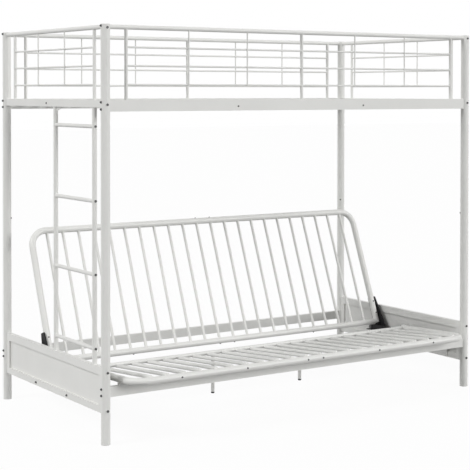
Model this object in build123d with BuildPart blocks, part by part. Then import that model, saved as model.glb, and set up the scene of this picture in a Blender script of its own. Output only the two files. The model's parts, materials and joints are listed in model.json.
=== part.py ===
from build123d import *
import os
from math import cos, radians, sin, sqrt

os.makedirs("parts", exist_ok=True)

# Loft bed over a sofa that draws out into a bed. +X along the length, +Y to the
# back, +Z up, millimetres. Sizes and places below are measured from the middle of
# the bed on the floor. The files' origin is under the middle of the whole, which
# the sofa's overhang puts a little further forward, so keep() moves each piece back.

# Posts
post_d = 38.0
post_wall = 1.5
post_x = 981.0            # post axis from the middle, along the length
post_y = 486.0            # post axis from the middle, across the width
post_top = 1702.0
post_screw_z = 843.0      # small screw on each post's inner side
glide_h = 4.0
glide_plug = 18.0
cap_h = 2.0
cap_plug = 2.0
cap_round = 1.2
plug_fit = 0.15           # radial clearance of a plug or a sleeve in its tube

# Guard rails round the bunk
guard_d = 19.0
guard_wall = 1.2
guard_drop = 9.0          # top rails' axis below the posts' tops
upright_d = 14.0
upright_inset = 95.0      # outer upright's axis from the post's axis
wire_d = 8.0
wire_share = (0.726, 0.47, 0.209)  # wires' heights between bed rail and top rail
rod_d = 6.0
rods_per_bay = 2

# Bunk frame, which hangs a set distance below the posts' tops
bed_drop = 305.0         # side rails' tops below the posts' tops
bed_rail_w = 20.0
bed_rail_h = 47.0
end_rail_h = 30.0
end_rail_sink = 1.0       # end rails' tops below the side rails' tops
slat_count = 27
slat_end_x = 951.0        # axis of the first and the last slat
slat_w = 26.0
slat_h = 9.0
slat_wall = 1.0
slat_drop = 5.0           # a slat's top below the side rail's top

# Lower frame
low_rail_w = 20.0
low_rail_low = 193.0
low_rail_top = 235.0
panel_t = 20.0
panel_top = 311.0
panel_top_rail_h = 33.0
panel_low = 125.0
panel_low_rail_h = 28.0
panel_stile_w = 24.0
sheet_t = 2.0

# Ladder at the left end
stile_d = 20.0
ladder_front_y = -391.0
ladder_back_y = -30.0
rung_d = 16.0
rung_share = (0.926, 0.636, 0.3495, 0.0607)  # heights from the panel to the end rail
gusset_len = 80.0
gusset_drop = 22.0
gusset_t = 4.0

# Sofa seat: its tubes lie in a plane that rises a little to the front
seat_tube_d = 30.0
seat_side_x = 901.0
seat_front_y = -582.0
seat_back_y = -139.0
seat_back_z = 239.5
seat_tilt = 2.5
seat_tail = 14.0          # side tube's end behind the seat's rear rail
seat_rail_d = 20.0
seat_bar_d = 16.0
seat_bar_rise = 14.0      # bars' front ends lie over the front tube, above its axis
seat_bar_sink = 5.0       # bars' rear ends lie below the rear rail's axis
bar_end_t = 2.0           # closed end of a bar
bar_wall = 1.2
bar_count = 22
corner_r = 75.0
seam_x = 745.0            # joint between a bent end tube and the long tube
sleeve_len = 140.0
sleeve_wall = 1.5
leg_x = 246.0
leg_d = 16.0
leg_len = 180.0           # from the rear rail's axis to the tube's end
leg_tip_h = 7.0           # plastic tip below the tube's end
leg_tip_round = 2.0
plug_disc_t = 3.0        # plug in a tube's open end: its disc and its spigot
plug_len = 9.0
pad_w = 40.0              # nylon saddle on the front rail, under a side tube
pad_top = 246.0

# Sofa back
back_tube_d = 30.0
back_side_x = 932.5
back_low_y = 120.0
back_low_z = 232.0
back_lean = 21.5
back_height = 600.0       # between the axes of its two rails
back_tail = 6.0           # side tube's end below the low rail's axis
back_rail_d = 28.0
back_bar_d = 13.0

# Hinge between the seat and the back
pin_down = 18.0           # pin's axis below the back's low rail, along the back
pin_behind = 36.0         # pin's axis behind the plane of the back
pin_d = 12.0
pin_shoulder_d = 18.0
pin_head_d = 20.0
pin_head_t = 3.0
pin_fit = 0.05
side_gap = 0.3
arm_t = 5.0
arm_h = 24.0
arm_pad_front = 36.0
arm_pad_back = 18.0
arm_pad_rise = 12.0
arm_screw_at = 24.0       # arm's screws before and behind the rear rail's axis
plate_t = 5.0
plate_eye_r = 11.0
plate_top = 130.0
plate_front = 13.0        # plate's front edge at its top, in front of the back's plane
plate_foot_out = 40.0
plate_foot_down = 42.0
plate_round = 5.0
flange_t = 3.0
flange_short = 9.0        # flange's free edge inside the side tube's far side
flange_low = 22.0
flange_gap = 0.2
plate_screw_u = (44.0, 105.0)

# Runners that the sofa slides on
draw_len = 282.0          # how far the seat draws out
runner_t = 3.0
runner_drop = 26.0
runner_in = 910.0
runner_front_y = -440.0
runner_back_y = 176.0
hanger_y = (-370.0, -153.0, 153.0)
hanger_w = 24.0
hanger_low = 129.0

# Screws: heads are domed, with a hexagon socket
bolt_d = 6.0
bolt_head_d = 11.0
bolt_head_h = 4.5
nut_grip = 8.0            # how far a bolt reaches past what it clamps
screw_d = 4.0
screw_head_d = 8.0
screw_head_h = 2.6
screw_len = 12.0
bolt_fit = 0.1
head_taper = 18.0         # degrees
socket_flats = 6
socket_share = 0.5        # socket's width as a share of the head's
socket_depth_share = 0.5
rail_bolt_apart = 26.0    # two bolts into a low rail
bed_bolt_apart = 29.0     # two bolts into a bed rail
cross_bolt_apart = 7.0    # heights of two bolts that cross in a post's top
end_bolt_sink = 3.0       # bolt into an end rail, below its middle
bed_screw_x = 343.0
bed_screw_up = 19.0       # small screw on a bed rail, above its lower edge
end_screw_y = 42.0
runner_bolt_y = (-153.0, 153.0)
seat_screw_x = (41.0, 361.0, 685.0)
top_screw_x = 41.0
low_screw_x = (41.0, 518.0)

overrun = 30.0            # how far every cutter runs past what it cuts

# Places that several pieces share, worked out from the sizes above
post_r = post_d / 2
long_bay = post_x - upright_inset
end_bay = post_y - upright_inset
guard_top_z = post_top - guard_drop
bed_rail_top = post_top - bed_drop
bed_rail_low = bed_rail_top - bed_rail_h
bed_rail_mid = (bed_rail_low + bed_rail_top) / 2
end_rail_top = bed_rail_top - end_rail_sink
end_rail_low = end_rail_top - end_rail_h
end_rail_mid = (end_rail_low + end_rail_top) / 2
wire_z = [bed_rail_top + share * (guard_top_z - bed_rail_top) for share in wire_share]
rung_z = [panel_top + share * (end_rail_low - panel_top) for share in rung_share]
low_rail_mid = (low_rail_low + low_rail_top) / 2
panel_rail_low = panel_top - panel_top_rail_h
panel_top_mid = (panel_rail_low + panel_top) / 2
panel_sill = panel_low + panel_low_rail_h
panel_low_mid = (panel_low + panel_sill) / 2
side_bolt_z = (
    low_rail_mid - rail_bolt_apart / 2,
    low_rail_mid + rail_bolt_apart / 2,
    bed_rail_mid - bed_bolt_apart / 2,
    bed_rail_mid + bed_bolt_apart / 2,
    guard_top_z + cross_bolt_apart / 2,
)
end_bolt_z = (
    panel_low_mid,
    panel_top_mid,
    end_rail_mid - end_bolt_sink,
    guard_top_z - cross_bolt_apart / 2,
)
panel_in = post_x - panel_t / 2
seat_pitch = 2 * seat_side_x / (bar_count + 1)
back_pitch = 2 * back_side_x / (bar_count + 1)
seat_run = (seat_back_y - seat_front_y) / cos(radians(seat_tilt))
seat_plane = Plane(
    origin=(0, seat_back_y, seat_back_z),
    x_dir=(1, 0, 0),
    z_dir=(0, sin(radians(seat_tilt)), cos(radians(seat_tilt))),
)
back_plane = Plane(
    origin=(0, back_low_y, back_low_z),
    x_dir=(1, 0, 0),
    z_dir=(0, -cos(radians(back_lean)), sin(radians(back_lean))),
)
pin_at = back_plane.from_local_coords(Vector(0, -pin_down, -pin_behind))
pin_local = seat_plane.to_local_coords(pin_at)
arm_x = seat_side_x + seat_tube_d / 2
plate_x = back_side_x + back_tube_d / 2
arm_low = pin_local.Z - arm_h / 2
runner_z = arm_low - side_gap


def on_seat(x, y, z=0):
    """A point given in the seat's own plane: x along, y to the back, z off it."""
    return seat_plane.from_local_coords(Vector(x, y, z))


front_reach = -on_seat(0, -seat_run - seat_tube_d / 2 - screw_head_h).Y
bed_back = (front_reach - post_y - post_r - bolt_head_h) / 2


def on_back(x, up, out=0):
    """A point given in the sofa back's plane: x along, up it, and out in front."""
    return back_plane.from_local_coords(Vector(x, up, out))


def rod(start, end, outer, wall=0):
    """Add a round bar, or a tube if it has a wall, to the part being built."""
    start, end = Vector(start), Vector(end)
    with BuildSketch(Plane(origin=start, z_dir=end - start)) as section:
        Circle(outer / 2)
        if wall:
            Circle(outer / 2 - wall, mode=Mode.SUBTRACT)
    extrude(section.sketch, amount=(end - start).length)


def cut_rod(start, end, outer):
    """Take a round bar's space out of the part being built."""
    start, end = Vector(start), Vector(end)
    with BuildSketch(Plane(origin=start, z_dir=end - start)) as section:
        Circle(outer / 2)
    extrude(section.sketch, amount=(end - start).length, mode=Mode.SUBTRACT)


def box_tube(start, end, wide, tall, wall, up=(0, 0, 1)):
    """Add a rectangular tube from start to end, tall along the up direction."""
    start, end = Vector(start), Vector(end)
    along = end - start
    side = Vector(*up).cross(along)
    with BuildSketch(Plane(origin=start, x_dir=side, z_dir=along)) as section:
        Rectangle(wide, tall)
        Rectangle(wide - 2 * wall, tall - 2 * wall, mode=Mode.SUBTRACT)
    extrude(section.sketch, amount=along.length)


def cut_posts(sides=(-1, 1)):
    """Cope what is being built round the posts at the given ends."""
    for x in sides:
        for y in (-1, 1):
            foot = (x * post_x, y * post_y, -overrun)
            cut_rod(foot, (foot[0], foot[1], post_top + overrun), post_d)


def bolt(seat, inward, grip, shank=bolt_d, head=bolt_head_d, rise=bolt_head_h):
    """Add a screw: its head stands on the seat point, its shank goes inward."""
    seat, inward = Vector(seat), Vector(inward).normalized()
    with BuildSketch(Plane(origin=seat, z_dir=-inward)) as disc:
        Circle(head / 2)
    extrude(disc.sketch, amount=rise, taper=head_taper)
    with BuildSketch(Plane(origin=seat - inward * rise, z_dir=inward)) as socket:
        RegularPolygon(head * socket_share / 2, socket_flats)
    extrude(socket.sketch, amount=rise * socket_depth_share, mode=Mode.SUBTRACT)
    rod(seat, seat + inward * grip, shank)


def small_screw(seat, inward, grip=screw_len):
    """Add a small screw, as bolt() does."""
    bolt(seat, inward, grip, screw_d, screw_head_d, screw_head_h)


def drill(seat, inward, grip, shank=bolt_d):
    """Cut the hole that a screw goes through, from outside its head inward."""
    seat, inward = Vector(seat), Vector(inward).normalized()
    cut_rod(seat - inward * overrun, seat + inward * grip, shank + 2 * bolt_fit)


def keep(piece, name):
    """Label a finished piece, move it to its place and write its file."""
    placed = piece.part.moved(Location((0, bed_back, 0)))
    placed.label = name
    export_step(placed, f"parts/{name}.step")


# Where the screws go: a point on the surface and the way in
def post_screws(x, y):
    """The bolts through one post, into the long rails and into the end frames."""
    side = x * (post_x + post_r)
    end = y * (post_y + post_r)
    return [((side, y * post_y, z), (-x, 0, 0)) for z in side_bolt_z] + [
        ((x * post_x, end, z), (0, -y, 0)) for z in end_bolt_z
    ]


def bed_screws(y):
    """The small screws on one long bed rail."""
    face = y * (post_y + bed_rail_w / 2)
    z = bed_rail_low + bed_screw_up
    return [((x, face, z), (0, -y, 0)) for x in (-bed_screw_x, bed_screw_x)]


def runner_screws(side):
    """The bolts through one end panel's low rail into the runner's hangers."""
    face = side * (post_x + panel_t / 2)
    return [((face, y, panel_low_mid), (-side, 0, 0)) for y in runner_bolt_y]


def seat_screws():
    """The small screws on the front of the seat's long tube."""
    front = -seat_run - seat_tube_d / 2
    return [
        (on_seat(side * x, front), seat_plane.y_dir)
        for side in (-1, 1)
        for x in seat_screw_x
    ]


def top_screws():
    """The small screws on the upper side of the sofa back's top tube."""
    up = back_height + back_tube_d / 2
    return [(on_back(x, up), -back_plane.y_dir) for x in (-top_screw_x, top_screw_x)]


def low_screws():
    """The small screws under the sofa back's low rail."""
    return [
        (on_back(side * x, -back_rail_d / 2), back_plane.y_dir)
        for side in (-1, 1)
        for x in low_screw_x
    ]


def inner_screw(x, y):
    """The small screw half-way up a post, on the side that faces the bed's middle."""
    inward = Vector(x, y, 0).normalized()
    return Vector(x * post_x, y * post_y, post_screw_z) - inward * post_r, inward


def plate_screws(side):
    """The screws through a side tube of the back into its hinge plate."""
    return [
        (on_back(side * back_side_x, up, back_tube_d / 2), -back_plane.z_dir)
        for up in plate_screw_u
    ]


def arm_screws(side):
    """The screws through a hinge arm into the seat's side tube."""
    return [
        (on_seat(side * (arm_x + arm_t), y), (-side, 0, 0))
        for y in (-arm_screw_at, 0)
    ]


corners = {
    "front_left": (-1, -1),
    "front_right": (1, -1),
    "back_left": (-1, 1),
    "back_right": (1, 1),
}
ends = {"left": -1, "right": 1}
sides = {"front": -1, "back": 1}
post_grip = post_d + nut_grip

# Posts, their caps and their floor glides
for name, (x, y) in corners.items():
    with BuildPart() as post:
        rod((x * post_x, y * post_y, glide_h), (x * post_x, y * post_y, post_top), post_d, post_wall)
        for seat, inward in post_screws(x, y):
            drill(seat, inward, post_d + overrun)
        drill(*inner_screw(x, y), post_r, screw_d)
    keep(post, f"post_{name}")

with BuildPart() as caps:
    with BuildSketch(Plane.XY.offset(post_top)):
        with GridLocations(2 * post_x, 2 * post_y, 2, 2):
            Circle(post_r)
    extrude(amount=cap_h)
    fillet(caps.edges().group_by(Axis.Z)[-1], cap_round)
    with BuildSketch(Plane.XY.offset(post_top)):
        with GridLocations(2 * post_x, 2 * post_y, 2, 2):
            Circle(post_r - post_wall - plug_fit)
    extrude(amount=-cap_plug)
keep(caps, "post_caps")

with BuildPart() as glides:
    with BuildSketch(Plane.XY):
        with GridLocations(2 * post_x, 2 * post_y, 2, 2):
            Circle(post_r)
    extrude(amount=glide_h)
    with BuildSketch(Plane.XY.offset(glide_h)):
        with GridLocations(2 * post_x, 2 * post_y, 2, 2):
            Circle(post_r - post_wall - plug_fit)
    extrude(amount=glide_plug)
keep(glides, "floor_glides")

with BuildPart() as post_bolts:
    for x, y in corners.values():
        for seat, inward in post_screws(x, y):
            bolt(seat, inward, post_grip)
keep(post_bolts, "post_bolts")

with BuildPart() as inner_screws:
    for x, y in corners.values():
        small_screw(*inner_screw(x, y))
keep(inner_screws, "post_inner_screws")

# Long sides: the guard's top rail, the bed rail and the low rail
for name, y in sides.items():
    with BuildPart() as top_rail:
        rod((-post_x, y * post_y, guard_top_z), (post_x, y * post_y, guard_top_z), guard_d, guard_wall)
        cut_posts()
    keep(top_rail, f"guard_top_rail_{name}")

    with BuildPart() as bed_rail:
        start = (-post_x, y * post_y, bed_rail_mid)
        end = (post_x, y * post_y, bed_rail_mid)
        box_tube(start, end, bed_rail_w, bed_rail_top - bed_rail_low, post_wall)
        cut_posts()
        for seat, inward in bed_screws(y):
            drill(seat, inward, bed_rail_w / 2, screw_d)
    keep(bed_rail, f"bed_rail_{name}")

    with BuildPart() as low_rail:
        start = (-post_x, y * post_y, low_rail_mid)
        end = (post_x, y * post_y, low_rail_mid)
        box_tube(start, end, low_rail_w, low_rail_top - low_rail_low, post_wall)
        cut_posts()
    keep(low_rail, f"low_rail_{name}")

# Ends: the guard's top rail and the bed's end rail
for name, x in ends.items():
    with BuildPart() as top_rail:
        rod((x * post_x, -post_y, guard_top_z), (x * post_x, post_y, guard_top_z), guard_d, guard_wall)
        cut_posts((x,))
    keep(top_rail, f"guard_top_rail_{name}")

    with BuildPart() as end_rail:
        start = (x * post_x, -post_y, end_rail_mid)
        end = (x * post_x, post_y, end_rail_mid)
        box_tube(start, end, bed_rail_w, end_rail_top - end_rail_low, post_wall)
        cut_posts((x,))
        face = x * (post_x + bed_rail_w / 2)
        drill((face, end_screw_y, end_rail_mid), (-x, 0, 0), bed_rail_w / 2, screw_d)
    keep(end_rail, f"bed_rail_{name}")

# Framed panels at the foot of both ends
sheet_reach = post_y - post_r - panel_stile_w

with BuildPart() as panel_rails:
    for x in (-post_x, post_x):
        start = (x, -post_y, panel_top_mid)
        box_tube(start, (x, post_y, panel_top_mid), panel_t, panel_top_rail_h, post_wall)
    cut_posts()
keep(panel_rails, "panel_top_rails")

with BuildPart() as panel_rails:
    for x in (-1, 1):
        start = (x * post_x, -post_y, panel_low_mid)
        end = (x * post_x, post_y, panel_low_mid)
        box_tube(start, end, panel_t, panel_low_rail_h, post_wall)
        for seat, inward in runner_screws(x):
            drill(seat, inward, panel_t + overrun)
    cut_posts()
keep(panel_rails, "panel_low_rails")

with BuildPart() as sheets:
    with BuildSketch(Plane.XY.offset(panel_sill)):
        with Locations((-post_x, 0), (post_x, 0)):
            Rectangle(sheet_t, 2 * sheet_reach)
    extrude(amount=panel_rail_low - panel_sill)
keep(sheets, "panel_sheets")

with BuildPart() as panel_stiles:
    for x, y in corners.values():
        near = sheet_reach
        mid = (x * post_x, y * (near + post_y) / 2)
        box_tube((*mid, panel_sill), (*mid, panel_rail_low), panel_t, post_y - near, post_wall, (0, 1, 0))
    cut_posts()
keep(panel_stiles, "panel_stiles")

# Guards: thick uprights, level wires between them, thin rods in front of these
long_uprights = [(x, y * post_y) for y in (-1, 1) for x in (-long_bay, 0, long_bay)]
end_uprights = [(x * post_x, y) for x in (-1, 1) for y in (-end_bay, end_bay)]
rod_out = (wire_d + rod_d) / 2
rod_low = wire_z[-1] - wire_d / 2
rod_high = guard_top_z - sqrt((guard_d / 2) ** 2 - rod_out**2)


def cut_guard_tops():
    """Cope what is being built round the four top rails."""
    for y in (-post_y, post_y):
        cut_rod((-post_x, y, guard_top_z), (post_x, y, guard_top_z), guard_d)
    for x in (-post_x, post_x):
        cut_rod((x, -post_y, guard_top_z), (x, post_y, guard_top_z), guard_d)


def thirds(low, high):
    """The places of the thin rods between two uprights."""
    step = (high - low) / (rods_per_bay + 1)
    return [low + step * (i + 1) for i in range(rods_per_bay)]


with BuildPart() as uprights:
    for x, y in long_uprights:
        rod((x, y, bed_rail_top), (x, y, guard_top_z), upright_d, guard_wall)
    for x, y in end_uprights:
        rod((x, y, end_rail_top), (x, y, guard_top_z), upright_d, guard_wall)
    cut_guard_tops()
keep(uprights, "guard_uprights")

with BuildPart() as wires:
    for z in wire_z:
        for y in (-post_y, post_y):
            rod((-long_bay, y, z), (long_bay, y, z), wire_d)
        for x in (-post_x, post_x):
            rod((x, -end_bay, z), (x, end_bay, z), wire_d)
    for x, y in (*long_uprights, *end_uprights):
        cut_rod((x, y, bed_rail_low), (x, y, guard_top_z), upright_d)
keep(wires, "guard_wires")

with BuildPart() as rods:
    for side in (-1, 1):
        y = side * (post_y + rod_out)
        for x in (*thirds(-long_bay, 0), *thirds(0, long_bay)):
            rod((x, y, rod_low), (x, y, rod_high), rod_d)
        x = side * (post_x + rod_out)
        for y in thirds(-end_bay, end_bay):
            rod((x, y, rod_low), (x, y, rod_high), rod_d)
    cut_guard_tops()
keep(rods, "guard_rods")

# Slats of the bunk, flat tubes between the two long rails
with BuildPart() as slats:
    edge = post_y - bed_rail_w / 2
    mid = bed_rail_top - slat_drop - slat_h / 2
    step = 2 * slat_end_x / (slat_count - 1)
    for i in range(slat_count):
        x = i * step - slat_end_x
        box_tube((x, -edge, mid), (x, edge, mid), slat_w, slat_h, slat_wall)
keep(slats, "bed_slats")

with BuildPart() as rail_screws:
    for y in (-1, 1):
        for seat, inward in bed_screws(y):
            small_screw(seat, inward)
    for x in (-1, 1):
        small_screw((x * (post_x + bed_rail_w / 2), end_screw_y, end_rail_mid), (-x, 0, 0))
keep(rail_screws, "bed_rail_screws")

# Ladder: two tubes from the end panel to the bed rail, four rungs bolted between
ladder_x = -post_x
with BuildPart() as stiles:
    for y, out in ((ladder_front_y, -1), (ladder_back_y, 1)):
        rod((ladder_x, y, panel_top), (ladder_x, y, end_rail_low), stile_d, guard_wall)
        for z in rung_z:
            drill((ladder_x, y + out * stile_d / 2, z), (0, -out, 0), stile_d + overrun)
keep(stiles, "ladder_stiles")

with BuildPart() as rungs:
    for z in rung_z:
        rod((ladder_x, ladder_front_y, z), (ladder_x, ladder_back_y, z), rung_d, post_wall)
    for y in (ladder_front_y, ladder_back_y):
        cut_rod((ladder_x, y, panel_top), (ladder_x, y, end_rail_low), stile_d)
keep(rungs, "ladder_rungs")

with BuildPart() as ladder_bolts:
    for z in rung_z:
        bolt((ladder_x, ladder_front_y - stile_d / 2, z), (0, 1, 0), stile_d + nut_grip)
        bolt((ladder_x, ladder_back_y + stile_d / 2, z), (0, -1, 0), stile_d + nut_grip)
keep(ladder_bolts, "ladder_bolts")

with BuildPart() as gusset:
    with BuildSketch(Plane.YZ.offset(ladder_x - gusset_t / 2)):
        with BuildLine():
            Polyline(
                (ladder_back_y, end_rail_low),
                (ladder_back_y - gusset_len, end_rail_low),
                (ladder_back_y, end_rail_low - gusset_drop),
                close=True,
            )
        make_face()
    extrude(amount=gusset_t)
    foot = (ladder_x, ladder_back_y, panel_top)
    cut_rod(foot, (ladder_x, ladder_back_y, end_rail_top), stile_d)
keep(gusset, "ladder_gusset")

# Runners: a sloping angle at each end, on hangers from the end panel's low rail
runner_start = on_seat(0, (runner_front_y - seat_back_y) / cos(radians(seat_tilt)), runner_z)
runner_len = (runner_back_y - runner_front_y) / cos(radians(seat_tilt))
with BuildPart() as runners:
    for side in (-1, 1):
        with BuildSketch(Plane(origin=runner_start, x_dir=(1, 0, 0), z_dir=seat_plane.y_dir)):
            with BuildLine():
                Polyline(
                    (side * runner_in, 0),
                    (side * panel_in, 0),
                    (side * panel_in, runner_drop),
                    (side * (panel_in - runner_t), runner_drop),
                    (side * (panel_in - runner_t), runner_t),
                    (side * runner_in, runner_t),
                    close=True,
                )
            make_face()
        extrude(amount=runner_len)
keep(runners, "runners")

with BuildPart() as hangers:
    for y in hanger_y:
        edge = (y + hanger_w / 2 - seat_back_y) / cos(radians(seat_tilt))
        top = on_seat(0, edge, runner_z - runner_t).Z
        with BuildSketch(Plane.XY.offset(hanger_low)):
            with Locations((-panel_in + 3 * runner_t / 2, y), (panel_in - 3 * runner_t / 2, y)):
                Rectangle(runner_t, hanger_w)
        extrude(amount=top - hanger_low)
    for side in (-1, 1):
        for seat, inward in runner_screws(side):
            drill(seat, inward, panel_t + overrun)
keep(hangers, "runner_hangers")

with BuildPart() as spacers:
    for side in (-1, 1):
        for y in hanger_y:
            start = Vector(side * panel_in, y, panel_low_mid)
            rod(start, start - Vector(side * runner_t, 0, 0), hanger_w)
        for seat, inward in runner_screws(side):
            drill(seat, inward, panel_t + overrun)
keep(spacers, "hanger_spacers")

with BuildPart() as runner_bolts:
    for side in (-1, 1):
        for seat, inward in runner_screws(side):
            bolt(seat, inward, panel_t + 3 * runner_t)
keep(runner_bolts, "runner_bolts")

# Nylon saddles on the front rail that the seat's side tubes slide over
with BuildPart() as pads:
    with BuildSketch(Plane.XY.offset(low_rail_top)):
        with Locations((-seat_side_x, -post_y), (seat_side_x, -post_y)):
            Rectangle(pad_w, low_rail_w)
    extrude(amount=pad_top - low_rail_top)
    for x in (-seat_side_x, seat_side_x):
        cut_rod(on_seat(x, -seat_run), on_seat(x, 0), seat_tube_d + 2 * side_gap)
keep(pads, "seat_glide_pads")


# Sofa seat
def cut_seat_sides():
    """Cope what is being built round the straight side tubes of the seat."""
    for x in (-seat_side_x, seat_side_x):
        cut_rod(on_seat(x, -seat_run), on_seat(x, overrun), seat_tube_d)


for name, side in ends.items():
    with BuildPart() as seat_end:
        with BuildLine(seat_plane) as path:
            FilletPolyline(
                (side * seat_side_x, seat_tail),
                (side * seat_side_x, -seat_run),
                (side * seam_x, -seat_run),
                radius=corner_r,
            )
        with BuildSketch(Plane(origin=path.wire() @ 0, z_dir=path.wire() % 0)):
            Circle(seat_tube_d / 2)
            Circle(seat_tube_d / 2 - post_wall, mode=Mode.SUBTRACT)
        sweep()
        for seat, inward in arm_screws(side):
            drill(seat, inward, arm_t + seat_tube_d / 2, screw_d)
    keep(seat_end, f"seat_end_tube_{name}")

with BuildPart() as seat_front:
    for side in (-1, 1):
        rod(on_seat(0, -seat_run), on_seat(side * seam_x, -seat_run), seat_tube_d, post_wall)
    for seat, inward in seat_screws():
        drill(seat, inward, seat_tube_d / 2, screw_d)
keep(seat_front, "seat_front_tube")

with BuildPart() as sleeves:
    for x in (-seam_x, 0, seam_x):
        start = on_seat(x - sleeve_len / 2, -seat_run)
        end = on_seat(x + sleeve_len / 2, -seat_run)
        rod(start, end, seat_tube_d - 2 * post_wall - 2 * plug_fit, sleeve_wall)
    for seat, inward in seat_screws():
        drill(seat, inward, seat_tube_d / 2, screw_d)
keep(sleeves, "seat_tube_sleeves")

with BuildPart() as seat_rail:
    rod(on_seat(-seat_side_x, 0), on_seat(seat_side_x, 0), seat_rail_d, post_wall)
    cut_seat_sides()
keep(seat_rail, "seat_rear_rail")

with BuildPart() as seat_bars:
    for i in range(bar_count):
        x = (i - (bar_count - 1) / 2) * seat_pitch
        rear = on_seat(x, 0, -seat_bar_sink)
        front = on_seat(x, -seat_run, seat_bar_rise)
        along = (front - rear).normalized()
        rod(rear, front, seat_bar_d, bar_wall)
        rod(rear, rear + along * bar_end_t, seat_bar_d)
        rod(front - along * bar_end_t, front, seat_bar_d)
    cut_rod(on_seat(-seat_side_x, 0), on_seat(seat_side_x, 0), seat_rail_d)
    cut_rod(on_seat(-seat_side_x, -seat_run), on_seat(seat_side_x, -seat_run), seat_tube_d)
keep(seat_bars, "seat_bars")

with BuildPart() as legs:
    for side in (-1, 1):
        top = on_seat(side * leg_x, 0)
        rod(top, top - Vector(0, 0, leg_len), leg_d, bar_wall)
    cut_rod(on_seat(-seat_side_x, 0), on_seat(seat_side_x, 0), seat_rail_d)
keep(legs, "seat_legs")

with BuildPart() as leg_tips:
    for side in (-1, 1):
        low = on_seat(side * leg_x, 0) - Vector(0, 0, leg_len)
        rod(low, low - Vector(0, 0, leg_tip_h), leg_d)
    fillet(leg_tips.edges().group_by(Axis.Z)[0], leg_tip_round)
    for side in (-1, 1):
        low = on_seat(side * leg_x, 0) - Vector(0, 0, leg_len)
        rod(low, low + Vector(0, 0, plug_len), leg_d - 2 * bar_wall - 2 * plug_fit)
keep(leg_tips, "leg_tips")

with BuildPart() as seat_plugs:
    for side in (-1, 1):
        end = on_seat(side * seat_side_x, seat_tail)
        rod(end, end + seat_plane.y_dir * plug_disc_t, seat_tube_d)
        spigot_d = seat_tube_d - 2 * post_wall - 2 * plug_fit
        rod(end, end - seat_plane.y_dir * plug_len, spigot_d)
keep(seat_plugs, "seat_tube_plugs")

with BuildPart() as seat_fixings:
    for seat, inward in seat_screws():
        small_screw(seat, inward)
    for side in (-1, 1):
        for seat, inward in arm_screws(side):
            small_screw(seat, inward)
keep(seat_fixings, "seat_screws")

# Sofa back
for name, side in ends.items():
    with BuildPart() as back_end:
        with BuildLine(back_plane) as path:
            FilletPolyline(
                (side * back_side_x, -back_tail),
                (side * back_side_x, back_height),
                (side * seam_x, back_height),
                radius=corner_r,
            )
        with BuildSketch(Plane(origin=path.wire() @ 0, z_dir=path.wire() % 0)):
            Circle(back_tube_d / 2)
            Circle(back_tube_d / 2 - post_wall, mode=Mode.SUBTRACT)
        sweep()
        for seat, inward in plate_screws(side):
            drill(seat, inward, back_tube_d + overrun, screw_d)
    keep(back_end, f"back_end_tube_{name}")

with BuildPart() as back_top:
    for side in (-1, 1):
        rod(on_back(0, back_height), on_back(side * seam_x, back_height), back_tube_d, post_wall)
    for seat, inward in top_screws():
        drill(seat, inward, back_tube_d / 2, screw_d)
keep(back_top, "back_top_tube")

with BuildPart() as sleeves:
    for x in (-seam_x, 0, seam_x):
        start = on_back(x - sleeve_len / 2, back_height)
        end = on_back(x + sleeve_len / 2, back_height)
        rod(start, end, back_tube_d - 2 * post_wall - 2 * plug_fit, sleeve_wall)
    start = on_back(-sleeve_len / 2, 0)
    end = on_back(sleeve_len / 2, 0)
    rod(start, end, back_rail_d - 2 * post_wall - 2 * plug_fit, sleeve_wall)
    for seat, inward in (*top_screws(), *low_screws()):
        drill(seat, inward, back_rail_d / 2, screw_d)
keep(sleeves, "back_tube_sleeves")

with BuildPart() as back_low:
    for side in (-1, 1):
        rod(on_back(0, 0), on_back(side * back_side_x, 0), back_rail_d, post_wall)
        low = on_back(side * back_side_x, -overrun)
        cut_rod(low, on_back(side * back_side_x, overrun), back_tube_d)
    for seat, inward in low_screws():
        drill(seat, inward, back_rail_d / 2, screw_d)
keep(back_low, "back_low_rail")

with BuildPart() as back_bars:
    for i in range(bar_count):
        x = (i - (bar_count - 1) / 2) * back_pitch
        rod(on_back(x, 0), on_back(x, back_height), back_bar_d, bar_wall)
    cut_rod(on_back(-back_side_x, 0), on_back(back_side_x, 0), back_rail_d)
    cut_rod(on_back(-back_side_x, back_height), on_back(back_side_x, back_height), back_tube_d)
keep(back_bars, "back_bars")

with BuildPart() as back_plugs:
    for side in (-1, 1):
        end = on_back(side * back_side_x, -back_tail)
        rod(end, end - back_plane.y_dir * plug_disc_t, back_tube_d)
        spigot_d = back_tube_d - 2 * post_wall - 2 * plug_fit
        rod(end, end + back_plane.y_dir * plug_len, spigot_d)
keep(back_plugs, "back_tube_plugs")

with BuildPart() as back_fixings:
    for seat, inward in (*top_screws(), *low_screws()):
        small_screw(seat, inward)
    for side in (-1, 1):
        for seat, inward in plate_screws(side):
            small_screw(seat, inward, back_tube_d + flange_gap + flange_t)
keep(back_fixings, "back_screws")

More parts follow.
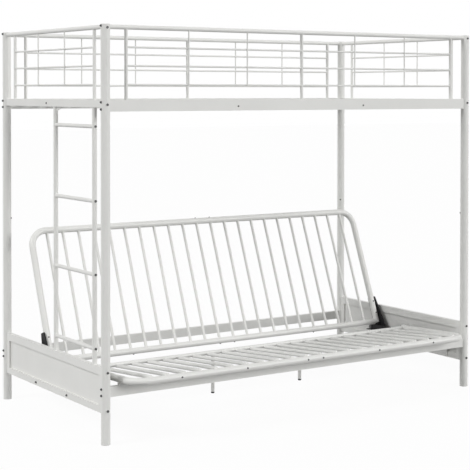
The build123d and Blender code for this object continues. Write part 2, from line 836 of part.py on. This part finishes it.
# Hinge: arms on the seat, shouldered pins through them, plates on the back
for name, side in ends.items():
    with BuildPart() as arm:
        inner = min(side * arm_x, side * (arm_x + arm_t))
        place = Plane(
            origin=seat_plane.origin + Vector(inner, 0, 0),
            x_dir=seat_plane.y_dir,
            z_dir=(1, 0, 0),
        )
        eye = place.to_local_coords(pin_at)
        arm_top = arm_low + arm_h
        with BuildSketch(place):
            with BuildLine():
                Polyline(
                    (-arm_pad_front, arm_low),
                    (eye.X, arm_low),
                    (eye.X, arm_top),
                    (arm_pad_back + arm_h, arm_top),
                    (arm_pad_back, arm_pad_rise),
                    (-arm_pad_front, arm_pad_rise),
                    close=True,
                )
            make_face()
            with Locations((eye.X, eye.Y)):
                Circle(arm_h / 2)
                Circle(pin_d / 2 + pin_fit, mode=Mode.SUBTRACT)
        extrude(amount=arm_t)
        for seat, inward in arm_screws(side):
            drill(seat, inward, arm_t + overrun, screw_d)
    keep(arm, f"hinge_arm_{name}")

flange_out = -back_tube_d / 2 - flange_gap - flange_t
with BuildPart() as plates:
    for side in (-1, 1):
        inner = min(side * plate_x, side * (plate_x + plate_t))
        # Here the first axis points behind the sofa back, the second up it
        place = Plane(
            origin=back_plane.origin + Vector(inner, 0, 0),
            x_dir=-back_plane.z_dir,
            z_dir=(1, 0, 0),
        )
        with BuildSketch(place):
            with Locations((pin_behind, -pin_down)):
                Circle(plate_eye_r)
            with Locations(
                (plate_round - plate_front, plate_top - plate_round),
                (-flange_out - plate_round, plate_top - plate_round),
                (-plate_foot_out, -plate_foot_down),
            ):
                Circle(plate_round)
            make_hull()
            with Locations((pin_behind, -pin_down)):
                Circle(pin_d / 2 + pin_fit, mode=Mode.SUBTRACT)
        extrude(amount=plate_t)
        reach = back_tube_d + plate_t - flange_short
        flange_mid = side * (plate_x + plate_t - reach / 2)
        corner = on_back(flange_mid, flange_low, flange_out)
        with BuildSketch(Plane(origin=corner, x_dir=(1, 0, 0), z_dir=back_plane.z_dir)):
            with Locations((0, (plate_top - flange_low) / 2)):
                Rectangle(reach, plate_top - flange_low)
        extrude(amount=flange_t)
        for seat, inward in plate_screws(side):
            drill(seat, inward, back_tube_d + overrun, screw_d)
keep(plates, "hinge_plates")

with BuildPart() as pins:
    for side in (-1, 1):
        stations = (
            (arm_x - pin_head_t - side_gap, arm_x - side_gap, pin_head_d),
            (arm_x - side_gap, plate_x + plate_t + side_gap, pin_d),
            (arm_x + arm_t + side_gap, plate_x - side_gap, pin_shoulder_d),
            (plate_x + plate_t + side_gap, plate_x + plate_t + side_gap + pin_head_t, pin_head_d),
        )
        for near, far, wide in stations:
            rod(pin_at + Vector(side * near, 0, 0), pin_at + Vector(side * far, 0, 0), wide)
keep(pins, "hinge_pins")

print("bed's middle behind the origin", round(bed_back, 3))
print("pin axis at", round(pin_at.Y + bed_back, 3), round(pin_at.Z, 3))
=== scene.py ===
import json
import math

import bmesh
import bpy
from mathutils import Matrix, Vector
from mathutils.bvhtree import BVHTree


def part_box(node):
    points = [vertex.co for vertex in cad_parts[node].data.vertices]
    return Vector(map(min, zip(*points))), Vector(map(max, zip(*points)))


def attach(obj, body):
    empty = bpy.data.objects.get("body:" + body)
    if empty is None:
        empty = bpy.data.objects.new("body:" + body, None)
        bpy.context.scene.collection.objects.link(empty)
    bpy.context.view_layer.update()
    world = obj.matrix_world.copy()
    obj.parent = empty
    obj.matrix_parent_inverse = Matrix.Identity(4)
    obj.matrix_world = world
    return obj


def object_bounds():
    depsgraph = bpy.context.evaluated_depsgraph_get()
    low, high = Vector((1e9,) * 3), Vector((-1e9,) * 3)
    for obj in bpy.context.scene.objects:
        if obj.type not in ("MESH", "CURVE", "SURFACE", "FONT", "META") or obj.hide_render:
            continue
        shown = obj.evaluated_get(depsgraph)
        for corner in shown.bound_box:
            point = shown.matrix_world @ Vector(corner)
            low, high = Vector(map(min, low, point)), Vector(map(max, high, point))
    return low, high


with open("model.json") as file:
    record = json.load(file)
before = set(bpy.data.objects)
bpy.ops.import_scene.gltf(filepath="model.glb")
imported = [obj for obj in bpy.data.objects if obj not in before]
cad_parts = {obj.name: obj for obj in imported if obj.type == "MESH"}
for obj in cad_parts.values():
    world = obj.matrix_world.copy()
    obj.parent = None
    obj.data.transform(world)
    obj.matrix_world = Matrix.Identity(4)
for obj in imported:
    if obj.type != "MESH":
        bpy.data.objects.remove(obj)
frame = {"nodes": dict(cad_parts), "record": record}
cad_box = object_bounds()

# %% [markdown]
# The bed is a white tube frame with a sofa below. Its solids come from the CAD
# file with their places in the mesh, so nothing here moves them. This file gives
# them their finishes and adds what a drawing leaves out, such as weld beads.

nodes = frame["nodes"]
low_corner, high_corner = (Vector(corner) for corner in cad_box)
print("pieces of the frame:", len(nodes), "size:", [round(x, 3) for x in high_corner - low_corner])

# %% [markdown]
# The camera is placed from the bed's own middle. That lies a little behind the
# origin, because the sofa stands out in front of the posts. The two long guard
# rails are the same distance either side of it, so their boxes give its place.


# %% The bed's middle
def box_middle(node):
    """The middle of a node's box."""
    a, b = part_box(node)
    return (a + b) / 2


front_y = box_middle("guard_top_rail_front").y
back_y = box_middle("guard_top_rail_back").y
bed_middle = Vector((0, (front_y + back_y) / 2, 0))
print("bed's middle:", [round(x, 4) for x in bed_middle], "rails apart:", round(back_y - front_y, 3))

# %% [markdown]
# The camera's place and its long lens come from fitting the bed's corners to the
# picture. A camera at eye height could be tipped down to take in the whole bed, but
# then the posts would lean together. This one looks almost level, and its lens is
# shifted down instead, as on a view camera, which keeps the posts upright.

# %% Camera
photo_px = 470
focal_px = 1330.4
centre_px = (240.7, 117.2)
turn, tilt, roll = (math.radians(a) for a in (33.689, -1.108, 0.053))
camera_place = bed_middle + Vector((-3.503, -5.2534, 1.432))
sensor_mm = 36
far_limit = 100

ahead = Vector((math.sin(turn) * math.cos(tilt), math.cos(turn) * math.cos(tilt), math.sin(tilt)))
level = Vector((math.cos(turn), -math.sin(turn), 0))
above = level.cross(ahead)
right = level * math.cos(roll) + above * math.sin(roll)
up = above * math.cos(roll) - level * math.sin(roll)

camera_data = bpy.data.cameras.new("camera")
camera_data.sensor_width = sensor_mm
camera_data.lens = focal_px / photo_px * sensor_mm
camera_data.shift_x = (photo_px / 2 - centre_px[0]) / photo_px
camera_data.shift_y = (centre_px[1] - photo_px / 2) / photo_px
camera_data.clip_end = far_limit
camera = bpy.data.objects.new("camera", camera_data)
bpy.context.scene.collection.objects.link(camera)
axes = Matrix((right, up, -ahead)).transposed().to_4x4()
camera.matrix_world = Matrix.Translation(camera_place) @ axes
bpy.context.scene.camera = camera
bpy.context.scene.view_settings.view_transform = "Standard"
print("lens", round(camera_data.lens, 1), "mm")

# %% [markdown]
# A material is a small network of nodes. It could be drawn by hand in the editor,
# but a script makes the same one each time. The first two helpers make a node and
# set or link its inputs, so that each network below reads as a short list.


# %% Nodes and their inputs
def add(tree, kind, **inputs):
    """A new node of that kind, with its inputs set or linked."""
    node = tree.nodes.new(kind)
    for name, value in inputs.items():
        wire(tree, node, name.replace("_", " "), value)
    return node


def wire(tree, node, name, value):
    """Link a socket to a node's input, or set the input to a plain value."""
    socket = node.inputs[int(name)] if name.isdigit() else node.inputs[name]
    if isinstance(value, bpy.types.NodeSocket):
        tree.links.new(value, socket)
    else:
        socket.default_value = value


print("ready: add and wire")

# %% [markdown]
# Masks are sums of values between nought and one. A ramp brings a value smoothly
# from one span to another, which softens a mask's edge, and a mask then says how
# much of a second colour shows.


# %% Sums, ramps and mixes
def maths(tree, how, a, b):
    """One sum of two values or sockets."""
    node = tree.nodes.new("ShaderNodeMath")
    node.operation = how
    wire(tree, node, "0", a)
    wire(tree, node, "1", b)
    return node.outputs[0]


def ramp(tree, value, start, end, low_out=0.0, high_out=1.0):
    """A value brought smoothly from one span to another."""
    node = tree.nodes.new("ShaderNodeMapRange")
    node.interpolation_type = "SMOOTHSTEP"
    names = ("Value", "From Min", "From Max", "To Min", "To Max")
    for name, given_value in zip(names, (value, start, end, low_out, high_out)):
        wire(tree, node, name, given_value)
    return node.outputs["Result"]


def mix_colour(tree, share, a, b):
    """Two colours mixed by a share."""
    node = tree.nodes.new("ShaderNodeMix")
    node.data_type = "RGBA"
    for index, value in ((0, share), (6, a), (7, b)):
        wire(tree, node, str(index), value)
    return node.outputs[2]


print("ready: maths, ramp and mix_colour")

# %% [markdown]
# What several finishes share, such as dust, is a node group: it is built once, has
# named inputs, and is placed in each material with that material's own values.


# %% Groups
NUMBER = "NodeSocketFloat"


def new_group(name, inputs, outputs):
    """An empty node group with named number sockets, and its two end nodes."""
    tree = bpy.data.node_groups.new(name, "ShaderNodeTree")
    for socket, value in inputs.items():
        made = tree.interface.new_socket(socket, in_out="INPUT", socket_type=NUMBER)
        made.default_value = value
    for socket in outputs:
        tree.interface.new_socket(socket, in_out="OUTPUT", socket_type=NUMBER)
    return tree, tree.nodes.new("NodeGroupInput"), tree.nodes.new("NodeGroupOutput")


def place_group(tree, group, **values):
    """A node group placed in a material, with that material's own values."""
    node = tree.nodes.new("ShaderNodeGroup")
    node.node_tree = group
    for name, value in values.items():
        wire(tree, node, name.replace("_", " "), value)
    return node


print("ready: new_group and place_group")

# %% [markdown]
# Powder coat is sprayed on as dust and baked until it flows. Close up it has a
# fine orange-peel skin, and over a whole tube its thickness wanders a little. A
# noise a couple of millimetres across makes the skin and a wide one the wandering.

# %% Group for the coat's skin
coat_skin, given, out = new_group(
    "coat skin", {"Peel per metre": 520.0, "Wander per metre": 5.0}, ["Height", "Wander"]
)
place = add(coat_skin, "ShaderNodeTexCoord").outputs["Object"]
peel = add(
    coat_skin, "ShaderNodeTexNoise",
    Vector=place, Scale=given.outputs["Peel per metre"], Detail=3.0, Roughness=0.5,
)
wander = add(
    coat_skin, "ShaderNodeTexNoise",
    Vector=place, Scale=given.outputs["Wander per metre"], Detail=4.0, Roughness=0.6,
)
wire(coat_skin, out, "Height", peel.outputs["Fac"])
wire(coat_skin, out, "Wander", wander.outputs["Fac"])
print("made group:", coat_skin.name)

# %% [markdown]
# Dust settles where a surface looks up, and more so in patches. The surface's own
# direction gives the first and a noise the second.

# %% Group for settled dust
level_span = (0.35, 0.95)
patch_span = (0.35, 0.75)
settled_dust, given, out = new_group(
    "settled dust", {"Amount": 0.2, "Patch per metre": 14.0}, ["Mask"]
)
facing = add(settled_dust, "ShaderNodeNewGeometry").outputs["Normal"]
upward = add(settled_dust, "ShaderNodeSeparateXYZ", Vector=facing).outputs["Z"]
patches = add(
    settled_dust, "ShaderNodeTexNoise",
    Vector=add(settled_dust, "ShaderNodeTexCoord").outputs["Object"],
    Scale=given.outputs["Patch per metre"], Detail=5.0, Roughness=0.65,
)
looks_up = ramp(settled_dust, upward, *level_span)
patchy = ramp(settled_dust, patches.outputs["Fac"], *patch_span)
mask = maths(settled_dust, "MULTIPLY", looks_up, patchy)
mask = maths(settled_dust, "MULTIPLY", mask, given.outputs["Amount"])
wire(settled_dust, out, "Mask", mask)
print("made group:", settled_dust.name)

# %% [markdown]
# Edges lose their coat or plating first. A Bevel node gives the direction that a
# rounded edge would have. Where this leaves the true direction there is an edge,
# and a noise breaks the worn line up.

# %% Group for worn edges
bevel_rays = 4
edge_span = (0.995, 0.80)
break_span = (0.42, 0.66)
worn_edges, given, out = new_group(
    "worn edges", {"Reach": 0.0012, "Breaks per metre": 160.0, "Amount": 1.0}, ["Mask"]
)
rounded = worn_edges.nodes.new("ShaderNodeBevel")
rounded.samples = bevel_rays
wire(worn_edges, rounded, "Radius", given.outputs["Reach"])
agree = worn_edges.nodes.new("ShaderNodeVectorMath")
agree.operation = "DOT_PRODUCT"
wire(worn_edges, agree, "0", rounded.outputs["Normal"])
wire(worn_edges, agree, "1", add(worn_edges, "ShaderNodeNewGeometry").outputs["Normal"])
breaks = add(
    worn_edges, "ShaderNodeTexNoise",
    Vector=add(worn_edges, "ShaderNodeTexCoord").outputs["Object"],
    Scale=given.outputs["Breaks per metre"], Detail=4.0, Roughness=0.7,
)
edge = ramp(worn_edges, agree.outputs["Value"], *edge_span)
broken = ramp(worn_edges, breaks.outputs["Fac"], *break_span)
mask = maths(worn_edges, "MULTIPLY", edge, broken)
mask = maths(worn_edges, "MULTIPLY", mask, given.outputs["Amount"])
wire(worn_edges, out, "Mask", mask)
print("made group:", worn_edges.name)

# %% [markdown]
# Coat, plating and plastic are all one Principled shader with different values.
# Each has two shades that take turns where its skin wanders, and a fine bump. One
# plain colour would do from afar, but close up it looks like no material at all.


# %% What every finish has
colour_span = (0.3, 0.7)


def new_finish(name):
    """A new material, its node tree and its Principled shader."""
    material = bpy.data.materials.new(name)
    material.use_nodes = True
    return material, material.node_tree, material.node_tree.nodes["Principled BSDF"]


def two_shades(tree, skin, shade, other):
    """One shade that turns into the other where the skin wanders."""
    share = ramp(tree, skin.outputs["Wander"], *colour_span)
    return mix_colour(tree, share, (*shade, 1), (*other, 1))


def skin_bump(tree, shader, skin, strength, height):
    """The skin's height as bump on the shader."""
    bump = add(tree, "ShaderNodeBump", Strength=strength, Distance=height, Height=skin.outputs["Height"])
    wire(tree, shader, "Normal", bump.outputs["Normal"])


print("ready: new_finish, two_shades and skin_bump")

# %% [markdown]
# The colour of the real coat is a plain white with a soft shine. The material adds
# the peel as bump, a touch of warmth where the coat is thin, a little dust on what
# looks up, and edges rubbed slightly darker. The sofa's plates, arms and runners
# are coated too, in a matt black.

# %% Painted metal
coat_shine_span = (0.25, 0.75)
smoother, rougher = 0.04, 0.05
dust_dulls = 0.3
peel_strength = 0.35


def painted(name, colour, thin, dust, rubbed, roughness, edge_amount, peel_height, gloss):
    """Powder-coated steel in one colour."""
    material, tree, shader = new_finish(name)
    skin = place_group(tree, coat_skin)
    dust_amount, dust_colour = dust
    dusty = place_group(tree, settled_dust, Amount=dust_amount)
    edges = place_group(tree, worn_edges, Amount=edge_amount)
    base = two_shades(tree, skin, colour, thin)
    base = mix_colour(tree, dusty.outputs["Mask"], base, (*dust_colour, 1))
    base = mix_colour(tree, edges.outputs["Mask"], base, (*rubbed, 1))
    wire(tree, shader, "Base Color", base)
    ends = (roughness - smoother, roughness + rougher)
    rough = ramp(tree, skin.outputs["Wander"], *coat_shine_span, *ends)
    dulled = maths(tree, "MULTIPLY", dusty.outputs["Mask"], dust_dulls)
    wire(tree, shader, "Roughness", maths(tree, "ADD", rough, dulled))
    skin_bump(tree, shader, skin, peel_strength, peel_height)
    shader.inputs["Specular IOR Level"].default_value = gloss
    return material


white_coat = painted(
    "white powder coat",
    colour=(0.80, 0.80, 0.778), thin=(0.775, 0.775, 0.752), dust=(0.12, (0.66, 0.65, 0.62)),
    rubbed=(0.66, 0.66, 0.64), roughness=0.42, edge_amount=0.35, peel_height=0.00025, gloss=0.5,
)
black_coat = painted(
    "black powder coat",
    colour=(0.008, 0.008, 0.009), thin=(0.012, 0.012, 0.013), dust=(0.06, (0.12, 0.115, 0.11)),
    rubbed=(0.12, 0.12, 0.12), roughness=0.55, edge_amount=0.5, peel_height=0.0003, gloss=0.25,
)
print("painted:", white_coat.name, "and", black_coat.name)

# %% [markdown]
# The screws are zinc plated: a dark bluish grey metal, brighter where a key has
# rubbed the socket's rim. Bare steel would be fully metallic. Plating is a thin
# dull layer, so this is set a little over half, which also keeps the small heads
# from vanishing when they mirror the white room.

# %% Zinc plate
plate_peel_per_metre, plate_wander_per_metre = 1400.0, 60.0
plate_shades = (0.11, 0.11, 0.112), (0.07, 0.07, 0.07)
rubbed_plate = (0.55, 0.55, 0.54)
plate_edge_reach, plate_edge_amount = 0.0005, 0.8
plate_metallic = 0.6
plate_shine = (0.2, 0.8, 0.30, 0.46)
plate_bump_strength, plate_bump_height = 0.25, 0.0001


def plated(name):
    """Zinc-plated steel for the screws, pins and sleeves."""
    material, tree, shader = new_finish(name)
    skin = place_group(
        tree, coat_skin,
        Peel_per_metre=plate_peel_per_metre, Wander_per_metre=plate_wander_per_metre,
    )
    edges = place_group(tree, worn_edges, Reach=plate_edge_reach, Amount=plate_edge_amount)
    base = two_shades(tree, skin, *plate_shades)
    base = mix_colour(tree, edges.outputs["Mask"], base, (*rubbed_plate, 1))
    wire(tree, shader, "Base Color", base)
    shader.inputs["Metallic"].default_value = plate_metallic
    wire(tree, shader, "Roughness", ramp(tree, skin.outputs["Wander"], *plate_shine))
    skin_bump(tree, shader, skin, plate_bump_strength, plate_bump_height)
    return material


zinc_plate = plated("zinc plate")
print("plated:", zinc_plate.name)

# %% [markdown]
# The caps, plugs and glides are moulded plastic. A mould is spark-eroded to a fine
# matt grain, finer and more even than powder coat, and the plastic is a shade
# greyer or blacker than the tubes. Its rubbed edges are paler, not darker, because
# plastic has no metal under it.

# %% Moulded plastic
grain_per_metre, grain_wander_per_metre = 1900.0, 22.0
plastic_dust_colour = (0.45, 0.44, 0.42)
plastic_edge_reach, plastic_edge_amount = 0.0008, 0.5
paler_share, paler_by = 1.1, 0.03
plastic_shine = (0.2, 0.8, 0.50, 0.62)
grain_strength, grain_height = 0.3, 0.00008


def moulded(name, shade, other, dust_amount):
    """Moulded plastic with a fine grain."""
    material, tree, shader = new_finish(name)
    skin = place_group(
        tree, coat_skin, Peel_per_metre=grain_per_metre, Wander_per_metre=grain_wander_per_metre
    )
    dusty = place_group(tree, settled_dust, Amount=dust_amount)
    edges = place_group(tree, worn_edges, Reach=plastic_edge_reach, Amount=plastic_edge_amount)
    paler = [channel * paler_share + paler_by for channel in shade]
    base = two_shades(tree, skin, shade, other)
    base = mix_colour(tree, dusty.outputs["Mask"], base, (*plastic_dust_colour, 1))
    base = mix_colour(tree, edges.outputs["Mask"], base, (*paler, 1))
    wire(tree, shader, "Base Color", base)
    wire(tree, shader, "Roughness", ramp(tree, skin.outputs["Wander"], *plastic_shine))
    skin_bump(tree, shader, skin, grain_strength, grain_height)
    return material


white_plastic = moulded("white plastic", (0.76, 0.76, 0.74), (0.73, 0.73, 0.71), 0.10)
black_plastic = moulded("black plastic", (0.016, 0.016, 0.017), (0.024, 0.024, 0.025), 0.15)
print("moulded:", white_plastic.name, "and", black_plastic.name)

# %% [markdown]
# Every solid from the drawing has a material slot named in the record. Its finish
# here follows that name, so a new piece in the drawing finds its finish by itself.

# %% Finishes on the frame's own pieces
finish_of = {
    "white_metal": white_coat,
    "black_metal": black_coat,
    "bolt_steel": zinc_plate,
    "white_plastic": white_plastic,
    "black_plastic": black_plastic,
}
slot_of = {row["node"]: row["material_slot"] for row in frame["record"]["subparts"]}
for name, piece in nodes.items():
    piece.data.materials.clear()
    piece.data.materials.append(finish_of[slot_of[name]])
print("finished:", {slot: list(slot_of.values()).count(slot) for slot in finish_of})

# %% [markdown]
# A bar is welded to its tube with a small bead that runs round the joint. The
# joint's line is a saddle, because a round bar's end is cut to a round tube, so a
# plain ring would leave the surface. To find the line, a node's bars are first taken
# one at a time. A node's mesh is loose triangles, so a copy of it is merged, and
# each bar is then what hangs together by its edges.

# %% A node's solids
same_corner = 0.00001


def merged_copy(node):
    """A bmesh with a node's shape, its triangles joined at their corners."""
    copy = bmesh.new()
    copy.from_mesh(nodes[node].data)
    bmesh.ops.remove_doubles(copy, verts=copy.verts, dist=same_corner)
    copy.verts.index_update()
    return copy


def solids(mesh):
    """The corners of each solid of a bmesh."""
    reached = set()
    for first in mesh.verts:
        if first.index in reached:
            continue
        reached.add(first.index)
        solid, waiting = [], [first]
        while waiting:
            corner = waiting.pop()
            solid.append(corner)
            for edge in corner.link_edges:
                other = edge.other_vert(corner)
                if other.index not in reached:
                    reached.add(other.index)
                    waiting.append(other)
        yield solid


seat_bar_mesh = merged_copy("seat_bars")
print("the seat has", len(list(solids(seat_bar_mesh))), "bars")
seat_bar_mesh.free()

# %% [markdown]
# A bar's box wouldn't give the direction of a bar that slopes, and its corners
# crowd at the cut ends. The longest edges of a straight bar all run along it,
# though, so together they give its middle and its direction.

# %% One bar at a time
skin_share = 0.5


def straight_bars(node):
    """The middle, direction, half length and radius of each bar of a node."""
    copy = merged_copy(node)
    bars = []
    for solid in solids(copy):
        edges = [e for v in solid for e in v.link_edges if e.verts[0] == v]
        runs = [(e.verts[0].co, e.verts[1].co - e.verts[0].co) for e in edges]
        longest = max((run for _, run in runs), key=lambda run: run.length)
        skin = [(start, run) for start, run in runs if run.length > longest.length * skin_share]
        along = sum((run if run.dot(longest) > 0 else -run for _, run in skin), Vector()).normalized()
        heart = sum((start + run / 2 for start, run in skin), Vector()) / len(skin)
        reach = max(abs((v.co - heart).dot(along)) for v in solid)
        radius = max((start - heart).cross(along).length for start, _ in skin)
        bars.append((heart, along, reach, radius))
    copy.free()
    return bars


heart, along, reach, radius = straight_bars("seat_bars")[0]
print("a seat bar is", round(reach * 2, 3), "m long and", round(radius * 2, 4), "m thick")

# %% [markdown]
# A bead starts as a small circle that is spun into a ring. Rays then run along the
# bar's skin from its middle to the tube, and each section of the ring slides to
# where its ray lands. Where a bar lies higher or lower than its tube, some rays pass
# it by. Those sections are taken out and the bead's two ends are closed. The rest
# differ a little in thickness, as they do where a torch moves on in steps.

# %% A bead round a bar's end
bead_steps = 12
bead_corners = 5
bead_swell = 0.15
steps_apart = 2.4
skin_depth_share = 0.98
fewest_sections = 3


def spun_ring(radius, thickness):
    """A ring of small sections round the Z axis."""
    ring = bmesh.new()
    stand = Matrix.Translation((radius, 0, 0)) @ Matrix.Rotation(math.pi / 2, 4, "X")
    bmesh.ops.create_circle(ring, segments=bead_corners, radius=thickness, matrix=stand)
    bmesh.ops.spin(
        ring, geom=ring.verts[:] + ring.edges[:], cent=(0, 0, 0), axis=(0, 0, 1),
        angle=2 * math.pi, steps=bead_steps, use_merge=True,
    )
    return ring


def fit_to_tube(ring, radius, turns, lands):
    """Slides the ring's sections to the tube and takes out those that miss it."""
    missed = []
    for v in ring.verts:
        k = round(math.atan2(v.co.y, v.co.x) / (2 * math.pi) * bead_steps) % bead_steps
        if lands[k] is None:
            missed.append(v)
            continue
        heart = Vector((math.cos(turns[k]), math.sin(turns[k]), 0)) * radius
        swell = 1 + bead_swell * math.sin(k * steps_apart)
        v.co = heart + (v.co - heart) * swell + Vector((0, 0, lands[k]))
    bmesh.ops.delete(ring, geom=missed, context="VERTS")
    bmesh.ops.delete(ring, geom=[v for v in ring.verts if not v.link_faces], context="VERTS")
    bmesh.ops.holes_fill(ring, edges=[e for e in ring.edges if e.is_boundary], sides=bead_corners)
    bmesh.ops.recalc_face_normals(ring, faces=ring.faces)


def bead(mesh, bar, way, tube, thickness):
    """Adds one bead where a bar's end meets a tube, and counts it."""
    heart, along, reach, radius = bar
    along = along * way
    side = along.orthogonal().normalized()
    other = along.cross(side)
    turns = [2 * math.pi * k / bead_steps for k in range(bead_steps)]
    spokes = [side * math.cos(a) + other * math.sin(a) for a in turns]
    skin = [heart + spoke * radius * skin_depth_share for spoke in spokes]
    lands = [tube.ray_cast(start, along, reach + radius)[3] for start in skin]
    if bead_steps - lands.count(None) < fewest_sections:
        return 0
    ring = spun_ring(radius, thickness)
    fit_to_tube(ring, radius, turns, lands)
    for face in ring.faces:
        face.smooth = True
    ring.transform(Matrix.Translation(heart) @ Matrix((side, other, along)).transposed().to_4x4())
    loose = bpy.data.meshes.new("bead")
    ring.to_mesh(loose)
    ring.free()
    mesh.from_mesh(loose)
    bpy.data.meshes.remove(loose)
    return 1


print("a bead has", bead_steps, "sections of", bead_corners, "corners")

# %% [markdown]
# The sofa's bars, rails and legs and the guard's uprights, wires and rods are all
# joined this way, and the beads are painted over with the rest. Beads on one moving
# body are one piece. A weld on a thin wire is thinner than one on a bar.

# %% Weld beads
thick_bead, thin_bead = 0.0016, 0.0010
seat_ends = ["seat_end_tube_left", "seat_end_tube_right"]
back_ends = ["back_end_tube_left", "back_end_tube_right"]
sides = ["front", "back", "left", "right"]
top_rails = ["guard_top_rail_" + where for where in sides]
bed_rails = ["bed_rail_" + where for where in sides]


def welds(name, body, joints):
    """One piece with the beads of every joint between these bars and tubes."""
    mesh, count = bmesh.new(), 0
    for bars, tubes, thickness in joints:
        wall = bmesh.new()
        for tube in tubes:
            wall.from_mesh(nodes[tube].data)
        tree = BVHTree.FromBMesh(wall)
        for bar in straight_bars(bars):
            count += bead(mesh, bar, 1, tree, thickness) + bead(mesh, bar, -1, tree, thickness)
        wall.free()
    data = bpy.data.meshes.new(name)
    mesh.to_mesh(data)
    mesh.free()
    piece = bpy.data.objects.new(name, data)
    bpy.context.scene.collection.objects.link(piece)
    data.materials.append(white_coat)
    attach(piece, body)
    print(name + ":", count, "beads,", len(data.polygons), "faces")


welds("seat_welds", "seat", [
    ("seat_bars", ["seat_rear_rail", "seat_front_tube"] + seat_ends, thick_bead),
    ("seat_rear_rail", seat_ends, thick_bead),
    ("seat_legs", ["seat_rear_rail"], thick_bead),
])
welds("back_welds", "back", [
    ("back_bars", ["back_low_rail", "back_top_tube"] + back_ends, thick_bead),
    ("back_low_rail", back_ends, thick_bead),
])
welds("guard_welds", "frame", [
    ("guard_uprights", top_rails + bed_rails, thick_bead),
    ("guard_wires", ["guard_uprights"], thin_bead),
    ("guard_rods", top_rails, thin_bead),
])

# %% [markdown]
# A studio sweep is a floor and a wall in one sheet of paper. A curved sheet could
# be modelled here too. A wide plane is simpler, runs on far behind the bed, and is
# there from every side that the bed is looked at, with the white room for its wall.

# %% Floor
floor_size = 80.0
sheet = bmesh.new()
bmesh.ops.create_grid(sheet, x_segments=1, y_segments=1, size=floor_size / 2)
floor_mesh = bpy.data.meshes.new("floor")
sheet.to_mesh(floor_mesh)
sheet.free()
floor = bpy.data.objects.new("floor", floor_mesh)
bpy.context.scene.collection.objects.link(floor)
print("floor:", floor_size, "m wide")

# %% [markdown]
# A share of the paper shines plain white to the eye, which hides the line where it
# meets the backdrop, and the rest of it takes the bed's soft shadow. To the light
# that bounces about it is a mid grey, so that the tubes keep a darker underside.
# The Light Path node tells the two kinds of ray apart.

# %% Paper
paper_white = 0.96
paper_bounce = 0.32
paper_roughness = 0.9
plain_share = 0.94


def seen_share(tree):
    """One for a ray that shows the surface, by eye or in a gloss, and nought for light."""
    ray = tree.nodes.new("ShaderNodeLightPath")
    seen = maths(tree, "MAXIMUM", ray.outputs["Is Camera Ray"], ray.outputs["Is Glossy Ray"])
    return maths(tree, "MAXIMUM", seen, ray.outputs["Is Transmission Ray"])


paper, tree, paper_shader = new_finish("paper")
paper_shader.inputs["Roughness"].default_value = paper_roughness
paper_shader.inputs["Specular IOR Level"].default_value = 0.0
seen = seen_share(tree)
wire(tree, paper_shader, "Base Color", ramp(tree, seen, 0.0, 1.0, paper_bounce, paper_white))
plain = add(tree, "ShaderNodeEmission", Color=(1, 1, 1, 1), Strength=1.0)
blend = tree.nodes.new("ShaderNodeMixShader")
wire(tree, blend, "0", maths(tree, "MULTIPLY", seen, plain_share))
wire(tree, blend, "1", paper_shader.outputs[0])
wire(tree, blend, "2", plain.outputs[0])
wire(tree, tree.nodes["Material Output"], "Surface", blend.outputs[0])
floor.data.materials.append(paper)
print("the paper shines", plain_share, "of its white by itself")

# %% [markdown]
# The room beyond the floor is white to the eye and in reflections. It lights the
# bed less than a white room would, and the lamps make up the rest, because even
# light from all round would leave the round tubes looking flat. Its ceiling gives
# less than its walls, which keeps the seat's level bars a shade greyer than the
# upright faces.

# %% World
wall_light, ceiling_light = 0.58, 0.22
ceiling_span = (0.1, 0.9)
world = bpy.data.worlds.new("studio")
world.use_nodes = True
bpy.context.scene.world = world
tree = world.node_tree
tree.nodes.clear()
direction = add(tree, "ShaderNodeTexCoord").outputs["Generated"]
height = add(tree, "ShaderNodeSeparateXYZ", Vector=direction).outputs["Z"]
light = ramp(tree, height, *ceiling_span, wall_light, ceiling_light)
strength = ramp(tree, seen_share(tree), 0.0, 1.0, light, 1.0)
sky = add(tree, "ShaderNodeBackground", Color=(1, 1, 1, 1), Strength=strength)
add(tree, "ShaderNodeOutputWorld", Surface=sky.outputs[0])
print("room light:", wall_light, "from the walls and", ceiling_light, "from above")

# %% [markdown]
# Two broad lamps stand to the sides, one high past the bed's left end, which puts a
# shadow line under each panel's top rail, and the other lower, in front and to the
# right. Neither shines from the camera's own direction, so the side of a round tube
# that faces the camera is its greyest strip, and both flanks are lighter. Area lamps
# would fade along the bed. Sun lamps with a wide angle light both of its ends alike,
# as large panels far off would.

# %% Lamps
lamp_width = math.radians(24)


def broad_lamp(name, way_to_lamp, strength):
    """A sun lamp seen as a wide soft panel in that direction."""
    data = bpy.data.lights.new(name, "SUN")
    data.angle = lamp_width
    data.energy = strength
    lamp = bpy.data.objects.new(name, data)
    bpy.context.scene.collection.objects.link(lamp)
    lamp.matrix_world = (-Vector(way_to_lamp)).to_track_quat("-Z", "Y").to_matrix().to_4x4()


broad_lamp("left lamp", (-0.80, 0.05, 0.60), 1.75)
broad_lamp("front lamp", (0.52, -0.80, 0.30), 1.55)
